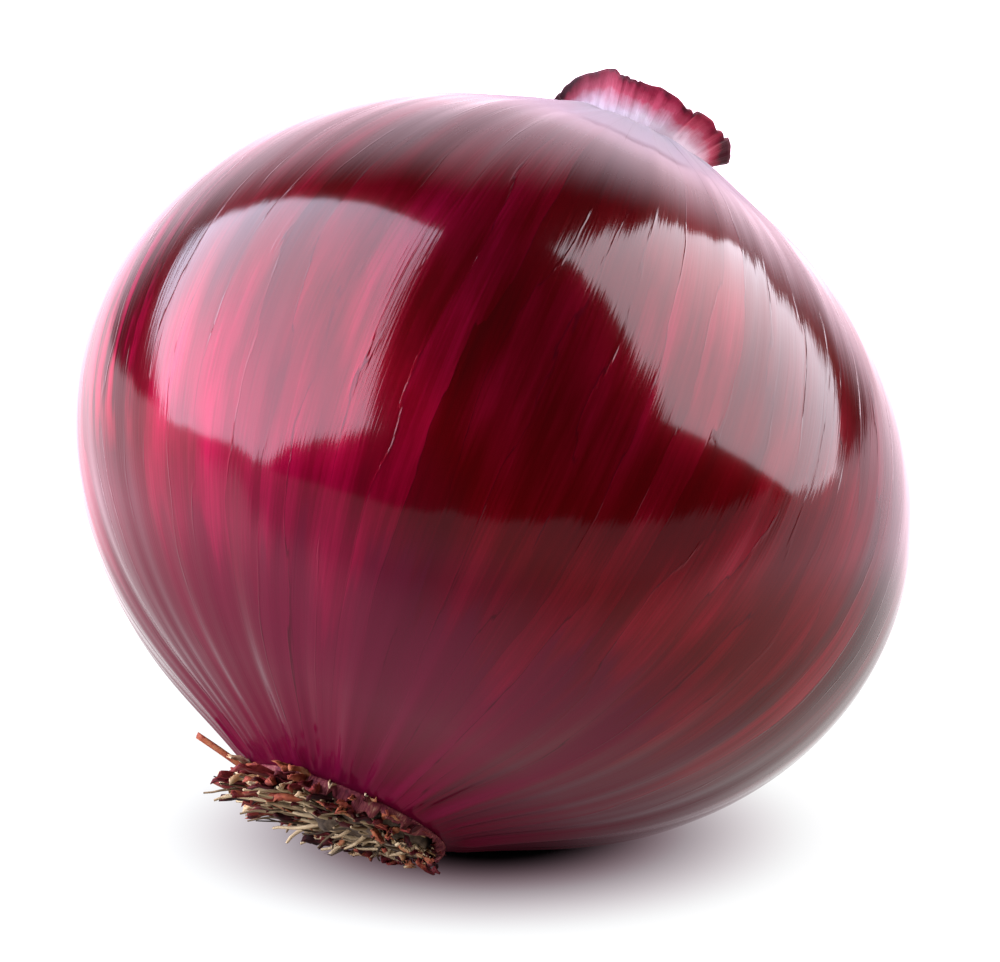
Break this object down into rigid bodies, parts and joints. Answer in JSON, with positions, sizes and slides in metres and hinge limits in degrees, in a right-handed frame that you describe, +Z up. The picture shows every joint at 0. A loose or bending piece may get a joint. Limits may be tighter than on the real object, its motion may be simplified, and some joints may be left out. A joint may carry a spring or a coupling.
{
  "type": "red onion",
  "caption": "Whole red onion with pleated dry skin, a short cut neck and a fringe of dried roots, lying on its lower shoulder.",
  "frame": {"origin": "middle of the flat spot on the bulb's lower shoulder that rests on the table", "axes": "+Z up; +X to the right and +Y away as the picture sees it; the neck leans towards +X and +Y"},
  "size_m": [0.0766, 0.0754, 0.0701],
  "materials": {
    "skin": "taut, glossy dry onion skin, dark crimson with fine meridian veins",
    "torn_skin": "dry, torn, red-brown papery skin",
    "roots": "dull, straw-coloured dried roots on a corky plate",
    "neck": "dry, papery, rose-red cut neck, creased and ragged"
  },
  "bodies": {
    "root": {"bulb": "skin", "torn_skin": "torn_skin", "root_plate": "roots", "neck": "neck"}
  },
  "joints": []
}
